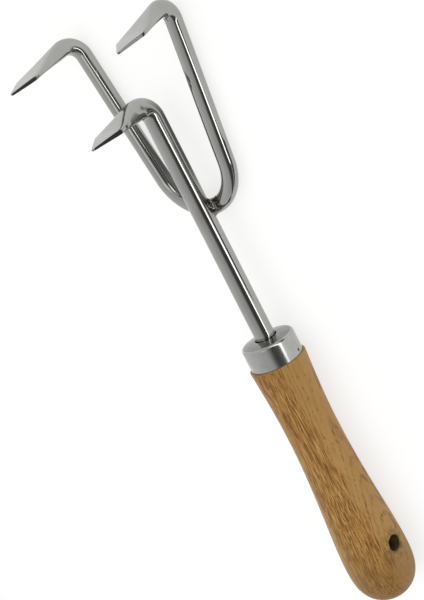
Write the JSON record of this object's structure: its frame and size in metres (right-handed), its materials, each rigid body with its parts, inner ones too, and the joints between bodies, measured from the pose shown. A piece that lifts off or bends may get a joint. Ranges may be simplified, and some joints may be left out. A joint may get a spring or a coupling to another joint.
{
  "type": "hand rake",
  "caption": "Hand rake: three bent steel tines with flat pointed blades on a round shaft, held by a steel collar in a turned wooden grip with a cross hole for hanging.",
  "frame": {"origin": "middle of the bounding box on the plane the grip's belly lies on", "axes": "+Y runs along the shaft from the grip to the tines, +Z is the way the tine points stand, +X is to the side, parallel to the hanging hole"},
  "size_m": [0.0934, 0.3136, 0.0574],
  "materials": {
    "polished_steel": "mirror-polished stainless steel bar, blade faces slightly satin",
    "polished_rod_steel": "mirror-polished stainless steel rod, blade faces slightly satin",
    "weld_steel": "rough polished weld metal",
    "collar_steel": "satin-polished stainless steel with fine turning marks",
    "pin_steel": "plain steel pin, ground flush",
    "grip_wood": "golden-brown oiled hardwood, grain along the grip, dark open pores",
    "glue": "set epoxy, out of sight"
  },
  "bodies": {
    "root": {"shaft_and_centre_tine": "polished_steel", "side_tine_rod": "polished_rod_steel", "weld_left": "weld_steel", "weld_right": "weld_steel", "ferrule": "collar_steel", "ferrule_pin": "pin_steel", "handle": "grip_wood", "tang_adhesive": "glue"}
  },
  "joints": []
}
